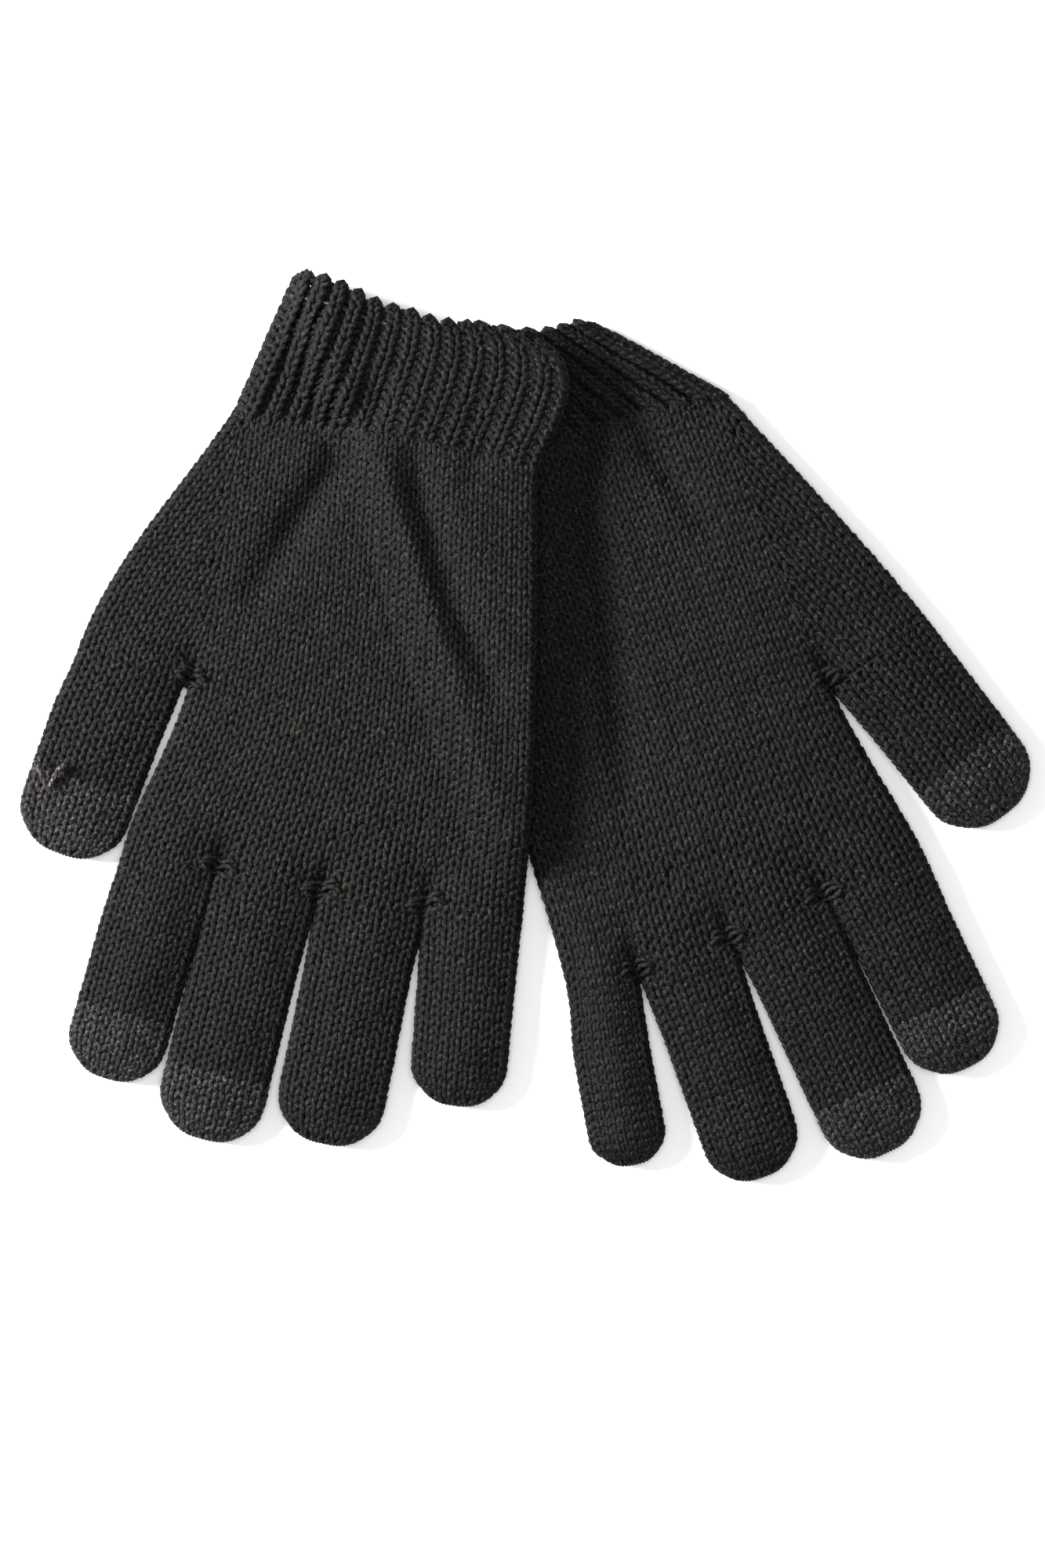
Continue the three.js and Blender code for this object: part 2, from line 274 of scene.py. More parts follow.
class Finger:
    """One finger's plan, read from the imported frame."""

    def __init__(self, side, name):
        joint = next(j for j in frame["joints"] if j["name"] == f"{side}_{name}_bend")
        self.side, self.name, self.body = side, name, joint["child"]
        self.root = np.array(joint["pos_m"][:2]) / MM
        across = -np.array(joint["axis"][:2])
        self.along = np.array([across[1], -across[0]])
        # from the thumb side to the little finger's side
        self.across = across if side == "left" else -across
        reach, offset = self.measure(f"{side}_{name}_finger")
        self.tip_start = None
        if name in TOUCH_FINGERS:
            self.tip_start = reach.max()
            tip_reach, tip_offset = self.measure(f"{side}_{name}_tip")
            reach = np.append(reach, tip_reach)
            offset = np.append(offset, tip_offset)
        self.length = reach.max()
        near_tip = reach > self.length - self.length / 3
        self.width = 2 * np.abs(offset[reach < 1]).max() + CAD_SIDE_SHORTFALL
        self.tip_width = 2 * np.abs(offset[near_tip]).max() + CAD_SIDE_SHORTFALL
        self.round_start = self.length - self.tip_width / 2
        self.round_length = self.tip_width / 2 - SIDE_FABRIC
        self.fullness = GLOVES[side]["fullness"][name]
        # whether a neighbour touches it at its thumb side, and at its little finger's side
        self.touching = (name in FOUR_FINGERS[1:], name in ("thumb", *FOUR_FINGERS[:-1]))
        self.end = self.round_start + TIP_REACH * self.round_length
        self.courses = round(self.end / FINGER_COURSE - 0.5)
        self.course = self.end / (self.courses - 0.5)

    def measure(self, node):
        """How far the node's corners are along the finger from its root, and across it from its middle."""
        corners = np.array([v.co[:2] for v in frame["nodes"][node].data.vertices]) / MM - self.root
        return corners @ self.along, corners @ self.across

    def root_ends(self):
        half = self.across * (self.width / 2 - SIDE_INSET)
        return self.root - half, self.root + half

    def bend(self, distance):
        return np.clip((distance - self.round_start) / self.round_length, 0, 1)

    def reach(self, r):
        """Distance from the root, and how far the fabric has turned over the end, from 0 to 1."""
        distance = r * self.course
        over = np.clip((distance - self.end) / self.course, 0, 1)
        return np.minimum(distance, self.end), over

    def fold_radius(self, r):
        distance, over = self.reach(r)
        return mix(mix(FOLD_RADIUS, TIP_FOLD_RADIUS, self.bend(distance) ** 2), CLOSED_RADIUS, over)

    def side_reach(self, hand, side):
        """How much further than the frame's a side reaches. hand is 0 for the thumb side, 1 for the other."""
        if self.touching[hand]:
            return self.fullness[hand] + ROOT_SWELL * (1 - smoothstep(side, 0, ROOT_SWELL_LENGTH))
        return self.fullness[hand] * smoothstep(side, 0, ROOT_SWELL_LENGTH)

    def half_row(self, r):
        """Half the flat part of the row, how far its middle is off the finger's line, and how far its ends
        lie behind its middle."""
        distance, _ = self.reach(r)
        sag = TIP_SAG * self.round_length * self.bend(distance) ** 2
        side = distance - sag
        width = mix(self.width, self.tip_width, np.clip(side / self.length, 0, 1))
        profile = (1 - self.bend(side) ** TIP_SQUARENESS) ** (1 / TIP_SQUARENESS)
        radius = mix(FOLD_RADIUS, TIP_FOLD_RADIUS, self.bend(distance) ** 2)
        near, far = (
            (width / 2 + self.side_reach(hand, side)) * profile - SIDE_FABRIC - radius
            for hand in (0, 1)
        )
        return (near + far) / 2, (far - near) / 2, sag

    def wales(self, r):
        """Front wales of a course: fewer where the end narrows, and odd so that the middle wale runs on."""
        if self.bend(r * self.course) <= 0:
            return FINGER_WALES
        half, _, _ = self.half_row(r)
        pitch = (self.tip_width - 2 * SIDE_INSET) / FINGER_WALES
        return int(min(FINGER_WALES, 2 * round((2 * half / pitch - 1) / 2) + 1))

    def row(self, q, r, wales):
        half, shift, sag = self.half_row(r)
        place = 2 * q / wales - 1
        distance, over = self.reach(r)
        reach = distance + END_CURL * np.sin(over * np.pi / 2) - sag * np.abs(place) ** 3
        return self.root + column(reach) * self.along + column(place * half + shift) * self.across

    def layers(self, q, r, wales):
        radius = self.fold_radius(r)
        distance, _ = self.reach(r)
        dome = FINGER_DOME * (1 - self.bend(distance) ** 2) * np.sin(np.pi * np.clip(q / wales, 0, 1))
        return MIDDLE_HEIGHT - radius, MIDDLE_HEIGHT + radius + dome


class Palm:
    """The palm from the wrist to the fingers. Its lower rows hold the thumb's gusset, which widens from
    nothing at the wrist. The main wales run on into the four fingers."""

    def __init__(self, side):
        lines = GLOVES[side]
        self.side, self.body = side, f"{side}_palm"
        self.thumb = Finger(side, "thumb")
        self.fingers = [Finger(side, name) for name in FOUR_FINGERS]
        self.wrist = inset_line(lines["wrist"])
        self.seam = inset_line(lines["seam"])
        self.thumb_outer = self.thumb.root_ends()[0]
        starts = [i * (FINGER_SHARE + GAP_SHARE) for i in range(len(self.fingers))]
        self.root_places = [(s + end) / MAIN_WALES for s in starts for end in (0, FINGER_SHARE)]
        self.root_points = np.array([end for finger in self.fingers for end in finger.root_ends()])
        self.root_steps = np.array([finger.along * COURSE for finger in self.fingers for _ in range(2)])
        self.courses = LOWER_COURSES + UPPER_COURSES

    def along_line(self, line, u):
        return mix(line[0], line[1], column(u))

    def at_roots(self, values, u):
        return np.stack([np.interp(u, self.root_places, values[:, i]) for i in range(2)], axis=-1)

    def main(self, u, r):
        """A point on the main wales: u is 0 at the gusset or index side and 1 at the little finger's side."""
        wrist, seam = self.along_line(self.wrist, u), self.along_line(self.seam, u)
        roots = self.at_roots(self.root_points, u)
        root_step = self.at_roots(self.root_steps, u)
        seam_step = (roots - wrist) / self.courses
        wrist_step = (seam - wrist) / LOWER_COURSES
        lower = hermite(wrist, seam, wrist_step * LOWER_COURSES, seam_step * LOWER_COURSES, r / LOWER_COURSES)
        upper = hermite(seam, roots, seam_step * UPPER_COURSES, root_step * UPPER_COURSES,
                        (r - LOWER_COURSES) / UPPER_COURSES)
        return np.where(column(r < LOWER_COURSES), lower, upper)

    def outline(self, r):
        """The thumb side of the lower palm."""
        start, end = self.wrist[0], self.thumb_outer
        return hermite(start, end, end - start, self.thumb.along * COURSE * LOWER_COURSES, r / LOWER_COURSES)

    def gusset_wales(self, r):
        """How many wales a course of the lower palm has in its gusset."""
        places = np.array([float(r)])
        width = np.linalg.norm(self.outline(places) - self.main(np.zeros(1), places))
        return int(round(width / GUSSET_PITCH))

    def row(self, q, r, wales):
        """The main wales. The gusset's are all on their first line."""
        gusset = wales - MAIN_WALES
        return self.main(np.clip((q - gusset) / MAIN_WALES, 0, 1), r)

    def layers(self, q, r, wales):
        gusset = wales - MAIN_WALES
        broad = np.sin(np.pi * np.clip(q / wales, 0, 1)) ** PALM_FLATNESS
        main = np.clip(q - gusset, 0, MAIN_WALES)
        if self.lower:
            ramp = smoothstep(r, LOWER_COURSES - ROOT_RAMP, LOWER_COURSES)
            thumb = max(gusset - GAP_SHARE, 1)
            dome = np.where(q < thumb, np.sin(np.pi * np.clip(q / thumb, 0, 1)),
                            np.sin(np.pi * main / MAIN_WALES) ** PALM_FLATNESS)
            slot = np.clip((q - thumb) / GAP_SHARE, 0, 1)
        else:
            ramp = smoothstep(r, self.courses - ROOT_RAMP, self.courses)
            place = np.mod(main, FINGER_SHARE + GAP_SHARE)
            dome = np.sin(np.pi * np.clip(place / FINGER_SHARE, 0, 1)) * FINGER_DOME / PALM_DOME
            slot = np.clip((place - FINGER_SHARE) / GAP_SHARE, 0, 1)
        pinch = 1 - ramp**3 * np.sin(np.pi * slot)
        dome = PALM_DOME * mix(broad, dome, ramp)
        return MIDDLE_HEIGHT - FOLD_RADIUS * pinch, MIDDLE_HEIGHT + (FOLD_RADIUS + dome) * pinch


class LowerPalm(Palm):
    lower = True

    def wales(self, r):
        return MAIN_WALES + self.gusset_wales(r)

    def row(self, q, r, wales):
        """The gusset's wales keep one pitch, and its last one takes up what is left before the main wales."""
        gusset = wales - MAIN_WALES
        main = super().row(q, r, wales)
        outline, line = self.outline(r), self.main(np.zeros_like(r), r)
        width = np.linalg.norm(line - outline, axis=-1)
        last = max(gusset - 1, 0)
        inner = np.minimum(last * GUSSET_PITCH, width)
        first_main = self.main(np.full_like(r, 1 / MAIN_WALES), r) if gusset == 0 else line
        join = outline + column(inner / np.maximum(width, 1e-6)) * (line - outline)
        spread = np.minimum(q * GUSSET_PITCH, inner)
        out = outline + column(spread / np.maximum(width, 1e-6)) * (line - outline)
        out = np.where(column(q > last), mix(join, first_main, column(q - last)), out)
        return np.where(column(q > max(gusset, 1)), main, out)


class UpperPalm(Palm):
    lower = False

    def wales(self, r):
        return MAIN_WALES


class Cuff:
    """The ribbed cuff from its open end to the wrist. Knit wales stand out and purl wales sink."""

    def __init__(self, side):
        lines = GLOVES[side]
        self.side, self.body = side, f"{side}_palm"
        self.top = inset_line(lines["cuff_top"])
        self.wrist = inset_line(lines["wrist"])
        self.dips = lines["edge_dips"]
        length = np.linalg.norm(mix(*self.wrist, 0.5) - mix(*self.top, 0.5))
        self.courses = round(length / RIB_COURSE)
        self.swell = CUFF_SWELL if side == "left" else 0
        self.fade = RIB_FADE_PLACES if side == "left" else (0, 1)

    def wales(self, r):
        return RIB_WALES

    def rib_depth(self, q):
        """Ribs stand out at the thumb side and are stretched nearly flat toward the other side."""
        return RIB_DEPTH * (1 - RIB_FADE * smoothstep(q / RIB_WALES, *self.fade))

    def row(self, q, r, wales):
        pair = 2 * np.floor(q / 2)
        part = q - pair
        place = pair + np.where(part < 1, part * KNIT_WALE_SHARE,
                                KNIT_WALE_SHARE + (part - 1) * (2 - KNIT_WALE_SHARE))
        u = np.clip(place / wales, 0, 1)
        share = r / (self.courses - WRIST_OVERLAP)
        swell = self.swell * np.sin(np.pi * np.clip(share, 0, 1) ** CUFF_SWELL_SKEW) * u**2
        dip = sum(depth * np.exp(-(((u - place) / width) ** 2)) for place, width, depth in self.dips)
        edge = np.clip(1 - share * 2, 0, 1) ** 2
        top = mix(self.top[0], self.top[1], column(u))
        foot = mix(self.wrist[0], self.wrist[1], column(u))
        down = unit(foot - top)
        scallop = SCALLOP * np.cos(np.pi * (q - 0.5)) * np.clip(1 - r / SCALLOP_COURSES, 0, 1)
        aside = unit(self.top[1] - self.top[0])
        return mix(top, foot, column(share)) + down * column(dip * edge - scallop) + aside * column(swell)

    def layers(self, q, r, wales):
        dome = CUFF_DOME * np.sin(np.pi * np.clip(q / wales, 0, 1))
        middle = CUFF_FOLD_RADIUS + HALF_FABRIC + RIB_DEPTH
        return middle - CUFF_FOLD_RADIUS, middle + CUFF_FOLD_RADIUS + dome


# ---------------------------------------------------------------- surface of the knit

def lower_edge_x(y):
    """The side of the right glove that the left glove lies on."""
    right = GLOVES["right"]
    seam, wrist, top = right["seam"][1], right["wrist"][1], right["cuff_top"][1]
    below = seam[0] + (y - seam[1]) / (wrist[1] - seam[1]) * (wrist[0] - seam[0])
    share = np.minimum((y - wrist[1]) / (top[1] - wrist[1]), 1)
    return np.where(y < wrist[1], below, wrist[0] + share * (top[0] - wrist[0]))


def drape_lift(x, y):
    edge = lower_edge_x(y)
    across = smoothstep(x, edge - RAMP, edge - PLATEAU_MARGIN)
    return GLOVE_STEP * across * smoothstep(y, FADE_LOW, FADE_HIGH)


def lumps(x, y):
    """Slow unevenness of the cloth."""
    waves = ((0.21, 0.07, 0.3), (-0.11, 0.19, 2.1), (0.05, -0.33, 4.0), (0.37, 0.23, 1.2), (-0.29, 0.41, 5.1))
    return sum(np.sin(a * x + b * y + c) for a, b, c in waves) / len(waves)


def crease_depth(x, y, creases):
    """How deep the soft creases are at a point. Each crease is a line, its depth and its width."""
    depth = np.zeros_like(x)
    for line, deep, broad in creases:
        points = np.array(line, float)
        nearest = np.full_like(x, 1e9)
        taper = np.zeros_like(x)
        for i, (a, b) in enumerate(zip(points[:-1], points[1:])):
            span = b - a
            t = np.clip(((x - a[0]) * span[0] + (y - a[1]) * span[1]) / (span @ span), 0, 1)
            gap = np.hypot(x - a[0] - t * span[0], y - a[1] - t * span[1])
            closer = gap < nearest
            nearest = np.where(closer, gap, nearest)
            taper = np.where(closer, (i + t) / (len(points) - 1), taper)
        depth += deep * np.exp(-((nearest / broad) ** 2)) * (1 - (2 * taper - 1) ** 4)
    return depth


def surface(section, q, r, wales):
    """The middle of the fabric at wale q and course r. q runs over the top from the thumb side, round the
    fold, back underneath, and round the other fold."""
    around = 2 * (wales + FOLD_WALES)
    q = np.mod(q, around)
    on_top = q < wales
    far_fold = (q >= wales) & (q < wales + FOLD_WALES)
    near_fold = q >= 2 * wales + FOLD_WALES
    folded = far_fold | near_fold
    back = 2 * wales + FOLD_WALES - q
    flat = np.where(on_top, q, np.where(far_fold, float(wales), np.where(near_fold, 0.0, back)))
    xy = section.row(flat, r, wales)
    low, high = section.layers(flat, r, wales)
    step = np.where(far_fold, -0.5, 0.5)
    outward = unit(xy - section.row(np.where(folded, flat + step, flat + 0.5), r, wales))
    far_turn = (q - wales) / FOLD_WALES
    near_turn = 1 - (q - 2 * wales - FOLD_WALES) / FOLD_WALES
    angle = np.where(far_fold, far_turn, near_turn) * np.pi
    radius = (high - low) / 2
    bulge = np.where(folded, radius * np.sin(angle), 0)
    xy = xy + outward * column(bulge)
    z = np.where(folded, (high + low) / 2 + radius * np.cos(angle), np.where(on_top, high, low))
    x, y = xy[..., 0], xy[..., 1]
    top_share = np.where(on_top, 1, np.where(folded, np.clip(np.cos(angle), 0, 1), 0))
    creases = GLOVES[section.side]["creases"]
    z = z + top_share * (LUMP_HEIGHT * lumps(x, y) - crease_depth(x, y, creases))
    if section.side == "left":
        z = z + drape_lift(x, y)
    return np.stack([x, y, z], axis=-1)


def facing(section, q, r, wales):
    """The fabric's outward direction."""
    step = 0.08
    over = surface(section, q + step, r, wales) - surface(section, q - step, r, wales)
    down = surface(section, q, r + step, wales) - surface(section, q, r - step, wales)
    hand = -1 if section.side == "left" else 1
    return unit(hand * np.cross(over, down))


# ---------------------------------------------------------------- yarn

def per_stitch(count, spread, at):
    """A value that wanders from stitch to stitch round a closed course."""
    values = rng.normal(0, spread, 2 * count)
    return np.interp(np.mod(at, count) * 2, np.arange(2 * count + 1), np.append(values, values[0]))


def course_path(section, index, ribbed=False):
    """Centre line, facing and half-width of one course's yarn."""
    r0 = index + 0.5
    wales = section.wales(r0)
    around = 2 * (wales + FOLD_WALES)
    s = np.arange(around * POINTS_PER_LOOP) / POINTS_PER_LOOP
    turn = 4 * np.pi * s
    reach = LOOP_REACH + per_stitch(around, UNEVEN_REACH, s)
    q = s + 0.5 + LOOP_SWING * np.sin(turn) + per_stitch(around, UNEVEN_PLACE, s)
    r = r0 - reach * np.cos(2 * np.pi * s) + per_stitch(around, UNEVEN_COURSE, s)
    height = -LEG_HEIGHT * np.tanh(LEG_SNAP * np.cos(turn)) / math.tanh(LEG_SNAP)
    height = height * (1 + per_stitch(around, UNEVEN_HEIGHT, s))
    if ribbed:
        side = np.tanh(RIB_SNAP * np.cos(np.pi * (q - 0.5))) / math.tanh(RIB_SNAP)
        height = side * (height + section.rib_depth(q))
    normal = facing(section, q, r, wales)
    path = surface(section, q, r, wales) + normal * column(height)
    return path, normal


def tube(path, normal, across=YARN_ACROSS, through=YARN_THROUGH, closed=True, sides=YARN_SIDES):
    """Vertices, quads and UVs of a yarn along a path. The UVs hold the length along the yarn and the turn
    round it."""
    count = len(path)
    if closed:
        tangent = unit(np.roll(path, -1, 0) - np.roll(path, 1, 0))
    else:
        tangent = unit(np.gradient(path, axis=0))
    sideways = unit(np.cross(tangent, normal))
    out = np.cross(sideways, tangent)
    angle = 2 * np.pi * (np.arange(sides) + 0.25) / sides
    across, through = np.broadcast_to(across, count), np.broadcast_to(through, count)
    ring = (
        path[:, None]
        + sideways[:, None] * (np.cos(angle) * across[:, None])[..., None]
        + out[:, None] * (np.sin(angle) * through[:, None])[..., None]
    )
    segments = count if closed else count - 1
    i = np.arange(segments)[:, None]
    a = np.arange(sides)[None, :]
    i2, a2 = (i + 1) % count, (a + 1) % sides
    quads = np.stack([i * sides + a, i2 * sides + a, i2 * sides + a2, i * sides + a2], axis=-1)
    following = np.roll(path, -1, 0) if closed else path[1:]
    lengths = np.linalg.norm(following[:segments] - path[:segments], axis=1)
    along = np.append(0, np.cumsum(lengths))
    u0, u1 = along[:-1, None] + 0 * a, along[1:, None] + 0 * a
    v0, v1 = a / sides + 0 * i, (a + 1) / sides + 0 * i
    corners = ((u0, v0), (u1, v0), (u1, v1), (u0, v1))
    uv = np.stack([np.stack(corner, -1) for corner in corners], axis=2)
    return ring.reshape(-1, 3), quads.reshape(-1, 4), uv.reshape(-1, 2)


def end_caps(path, sides):
    """Two flat polygons that close an open yarn's ends."""
    last = (len(path) - 1) * sides
    return [list(range(sides)), [last + a for a in reversed(range(sides))]]


def make_piece(name, parts, material, caps=()):
    """One Blender object from tubes. caps are extra polygons, numbered within the first tube."""
    corners = np.concatenate([p[0] for p in parts]) * MM
    offsets = np.cumsum([0] + [len(p[0]) for p in parts[:-1]])
    quads = np.concatenate([p[1] + o for p, o in zip(parts, offsets)])
    uvs = np.concatenate([p[2] for p in parts])
    cap_loops = np.array([c for cap in caps for c in cap], int)
    loops = np.append(quads.ravel(), cap_loops).astype(np.int32)
    sizes = np.append(np.full(len(quads), 4), [len(cap) for cap in caps]).astype(np.int32)
    starts = np.append(0, np.cumsum(sizes)[:-1]).astype(np.int32)
    mesh = bpy.data.meshes.new(name)
    mesh.vertices.add(len(corners))
    mesh.vertices.foreach_set("co", corners.astype(np.float32).ravel())
    mesh.loops.add(len(loops))
    mesh.loops.foreach_set("vertex_index", loops)
    mesh.polygons.add(len(sizes))
    mesh.polygons.foreach_set("loop_start", starts)
    mesh.polygons.foreach_set("use_smooth", np.ones(len(sizes), bool))
    layer = mesh.uv_layers.new(name="Yarn")
    all_uv = np.concatenate([uvs, np.zeros((len(cap_loops), 2))]).astype(np.float32)
    layer.data.foreach_set("uv", all_uv.ravel())
    mesh.update(calc_edges=True)
    mesh.validate()
    mesh.materials.append(material)
    piece = bpy.data.objects.new(name, mesh)
    bpy.context.scene.collection.objects.link(piece)
    return piece


def loose_fibres(section, index):
    """Short fibres that stand off the yarn of one course, round the glove."""
    wales = section.wales(index + 0.5)
    around = 2 * (wales + FOLD_WALES)
    count = round(around * FIBRES_PER_LOOP)
    starts = np.column_stack([rng.uniform(0, around, count), index + rng.uniform(0, 1, count)])
    heading = rng.uniform(0, 2 * np.pi, count)
    reach = rng.uniform(*FIBRE_REACH, count)
    lift = rng.uniform(*FIBRE_LIFT, count)
    t = np.linspace(0, 1, FIBRE_POINTS)[:, None]
    q = starts[:, 0] + reach * np.cos(heading) * t
    r = np.clip(starts[:, 1] + reach * np.sin(heading + FIBRE_CURL * t) * t, index, index + 1)
    normal = facing(section, q, r, wales)
    height = HALF_FABRIC - FIBRE_SINK + lift * np.sin(np.pi * (0.15 + 0.7 * t))
    paths = surface(section, q, r, wales) + normal * column(height)
    return [
        tube(paths[:, i], normal[:, i], FIBRE_RADIUS, FIBRE_RADIUS, closed=False, sides=3)
        for i in range(count)
    ]


def knit(name, section, first, last, material, ribbed=False, extra=()):
    """A knitted piece: the section's courses from first up to last."""
    parts = [tube(*course_path(section, index, ribbed)) for index in range(first, last)]
    fibres = [fibre for index in range(first, last) for fibre in loose_fibres(section, index)]
    return make_piece(name, parts + fibres + list(extra), material)


# ---------------------------------------------------------------- materials

def new_material(name):
    material = bpy.data.materials.new(name)
    material.use_nodes = True
    tree = material.node_tree
    return material, tree, tree.nodes["Principled BSDF"]


def node(tree, kind, **settings):
    made = tree.nodes.new(kind)
    for key, value in settings.items():
        if key in made.inputs:
            made.inputs[key].default_value = value
        else:
            setattr(made, key, value)
    return made


def yarn_material(name, dark, light, roughness, sheen):
    """Twisted yarn of three plies. dark and light are its colours in grooves and on fibres; the darker
    grooves are painted shade.
    """
    material, tree, shader = new_material(name)
    link = tree.links.new
    uv = node(tree, "ShaderNodeUVMap", uv_map="Yarn")
    split = node(tree, "ShaderNodeSeparateXYZ")
    link(uv.outputs["UV"], split.inputs["Vector"])
    # plies: sin(2 pi (length / pitch + turn * plies))
    length = node(tree, "ShaderNodeMath", operation="MULTIPLY")
    length.inputs[1].default_value = 2 * math.pi / PLY_PITCH
    link(split.outputs["X"], length.inputs[0])
    turn = node(tree, "ShaderNodeMath", operation="MULTIPLY_ADD")
    turn.inputs[1].default_value = 2 * math.pi * PLIES
    link(split.outputs["Y"], turn.inputs[0])
    link(length.outputs[0], turn.inputs[2])
    ply = node(tree, "ShaderNodeMath", operation="SINE")
    link(turn.outputs[0], ply.inputs[0])
    # fibres: noise stretched along the yarn and slanted with the twist
    stretch = node(tree, "ShaderNodeCombineXYZ")
    link(split.outputs["X"], stretch.inputs["X"])
    slant = node(tree, "ShaderNodeMath", operation="MULTIPLY_ADD")
    slant.inputs[1].default_value = 7.0
    link(split.outputs["Y"], slant.inputs[0])
    link(split.outputs["X"], slant.inputs[2])
    link(slant.outputs[0], stretch.inputs["Y"])
    fibres = node(tree, "ShaderNodeTexNoise", Scale=2.6, Detail=3.0, Roughness=0.6)
    link(stretch.outputs[0], fibres.inputs["Vector"])
    place = node(tree, "ShaderNodeTexCoord")
    patches = node(tree, "ShaderNodeTexNoise", Scale=420.0, Detail=2.0, Roughness=0.6)
    link(place.outputs["Object"], patches.inputs["Vector"])
    # colour: grooves between plies are painted darker as shade, fibres and patches vary
    tone = node(tree, "ShaderNodeMath", operation="MULTIPLY_ADD")
    tone.inputs[1].default_value = 0.22
    link(ply.outputs[0], tone.inputs[0])
    link(fibres.outputs["Fac"], tone.inputs[2])
    blend = node(tree, "ShaderNodeMath", operation="MULTIPLY_ADD")
    blend.inputs[1].default_value = 0.8
    link(patches.outputs["Fac"], blend.inputs[0])
    link(tone.outputs[0], blend.inputs[2])
    ramp = node(tree, "ShaderNodeValToRGB")
    ramp.color_ramp.elements[0].position = 0.55
    ramp.color_ramp.elements[0].color = (*dark, 1)
    ramp.color_ramp.elements[1].position = 1.0
    ramp.color_ramp.elements[1].color = (*light, 1)
    link(blend.outputs[0], ramp.inputs["Fac"])
    # flecks: short paler fibres here and there that also serve as painted glints, and a slight drift between
    # warm and cool
    specks_and_glints = node(tree, "ShaderNodeTexNoise", Scale=1500.0, Detail=1.0)
    link(place.outputs["Object"], specks_and_glints.inputs["Vector"])
    fleck_and_glint = node(tree, "ShaderNodeMapRange", **{"From Min": 0.53, "From Max": 0.78})
    link(specks_and_glints.outputs["Fac"], fleck_and_glint.inputs["Value"])
    paler = node(tree, "ShaderNodeMix", data_type="RGBA")
    paler.inputs[7].default_value = (*[FLECK_AND_GLINT * c for c in light], 1)
    link(fleck_and_glint.outputs["Result"], paler.inputs[0])
    link(ramp.outputs["Color"], paler.inputs[6])
    drift = node(tree, "ShaderNodeTexNoise", Scale=520.0, Detail=1.0)
    link(place.outputs["Object"], drift.inputs["Vector"])
    tint = node(tree, "ShaderNodeValToRGB")
    tint.color_ramp.elements[0].position = 0.35
    tint.color_ramp.elements[0].color = (1.0, 0.95, 0.86, 1)
    tint.color_ramp.elements[1].position = 0.65
    tint.color_ramp.elements[1].color = (0.95, 0.95, 0.98, 1)
    link(drift.outputs["Fac"], tint.inputs["Fac"])
    tinted = node(tree, "ShaderNodeMix", data_type="RGBA", blend_type="MULTIPLY")
    tinted.inputs[0].default_value = 1.0
    link(paler.outputs[2], tinted.inputs[6])
    link(tint.outputs["Color"], tinted.inputs[7])
    link(tinted.outputs[2], shader.inputs["Base Color"])
    # relief
    relief = node(tree, "ShaderNodeMath", operation="MULTIPLY_ADD")
    relief.inputs[1].default_value = 0.45
    link(ply.outputs[0], relief.inputs[0])
    link(fibres.outputs["Fac"], relief.inputs[2])
    bump = node(tree, "ShaderNodeBump", Strength=0.6, Distance=0.00012)
    link(relief.outputs[0], bump.inputs["Height"])
    link(bump.outputs["Normal"], shader.inputs["Normal"])
    shader.inputs["Roughness"].default_value = roughness
    shader.inputs["Specular IOR Level"].default_value = 0.1
    shader.inputs["Sheen Weight"].default_value = sheen
    shader.inputs["Sheen Roughness"].default_value = 0.45
    shader.inputs["Sheen Tint"].default_value = (*light, 1)
    return material


TAIL_YARN = yarn_material("tail_yarn", *TAIL_TONES, 0.6, 0.02)
BLACK_YARN = yarn_material("black_yarn", *BLACK_TONES, 0.7, 0.01)
CONDUCTIVE_YARN = yarn_material("conductive_yarn", *CONDUCTIVE_TONES, 0.6, 0.02)


def elastic_material():
    """Covered rubber thread with fine ribs across it; the valleys between ribs are painted darker as shade.
    """
    material, tree, shader = new_material("elastic_thread")
    uv = node(tree, "ShaderNodeUVMap", uv_map="Yarn")
    ribs = node(tree, "ShaderNodeTexWave", Scale=1.6, Distortion=0.6)
    tree.links.new(uv.outputs["UV"], ribs.inputs["Vector"])
    # painted shade: the colour follows the ribs' height and is darker in their valleys
    ramp = node(tree, "ShaderNodeValToRGB")
    ramp.color_ramp.elements[0].color = (0.006, 0.006, 0.006, 1)
    ramp.color_ramp.elements[1].color = (0.02, 0.02, 0.02, 1)
    tree.links.new(ribs.outputs["Fac"], ramp.inputs["Fac"])
    tree.links.new(ramp.outputs["Color"], shader.inputs["Base Color"])
    bump = node(tree, "ShaderNodeBump", Strength=0.5, Distance=0.0001)
    tree.links.new(ribs.outputs["Fac"], bump.inputs["Height"])
    tree.links.new(bump.outputs["Normal"], shader.inputs["Normal"])
    shader.inputs["Roughness"].default_value = 0.55
    return material


ELASTIC_THREAD = elastic_material()


# ---------------------------------------------------------------- pieces

def closing_course(finger):
    """The overcast yarn that closes the end of a finger, in small stitches from one side to the other."""
    r_end = finger.courses - 0.5
    wales = finger.wales(r_end)
    half, _, _ = finger.half_row(np.array([r_end]))
    stitches = max(4, round(2 * half[0] / OVERCAST_PITCH))
    s = np.linspace(0, stitches, stitches * 8 + 1)
    q = mix(0.1, wales - 0.1, s / stitches)
    xy = finger.row(q, np.full_like(s, r_end), wales)
    xy = xy + column(OVERCAST_PLACE + OVERCAST_SWING * np.cos(4 * np.pi * s)) * finger.along
    path = np.column_stack([xy, MIDDLE_HEIGHT + OVERCAST_HEIGHT * np.sin(2 * np.pi * s)])
    if finger.side == "left":
        path[:, 2] += drape_lift(path[:, 0], path[:, 1])
    normal = unit(np.column_stack([np.tile(finger.along, (len(s), 1)), np.zeros(len(s))]))
    return tube(path, normal, *OVERCAST_RADII, closed=False)


